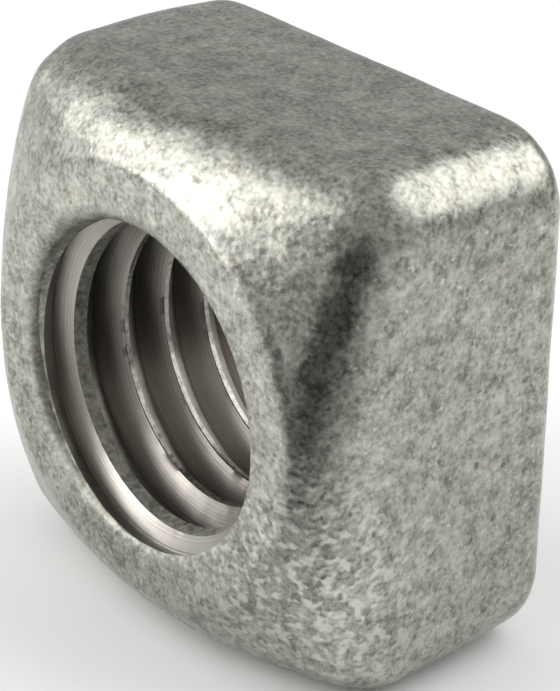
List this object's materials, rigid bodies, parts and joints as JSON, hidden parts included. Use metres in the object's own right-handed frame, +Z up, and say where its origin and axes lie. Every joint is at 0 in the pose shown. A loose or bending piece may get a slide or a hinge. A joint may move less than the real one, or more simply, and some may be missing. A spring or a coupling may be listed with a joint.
{
  "type": "square nut",
  "caption": "Hot-forged square nut with a chamfered crown, rounded edges and a tapped hole, for clamping a bolted joint in timber or steelwork.",
  "frame": {"origin": "middle of the side flat that the nut stands on, half way along its thickness", "axes": "+Z up; +Y along the thread, out of the bearing face; the chamfered crown faces -Y"},
  "size_m": [0.0206, 0.0116, 0.0206],
  "materials": {
    "zinc_coat": "steel under a matte, mottled hot-dip zinc coat; the thread is tapped after coating and is bare"
  },
  "bodies": {
    "root": {"nut": "zinc_coat"}
  },
  "joints": []
}
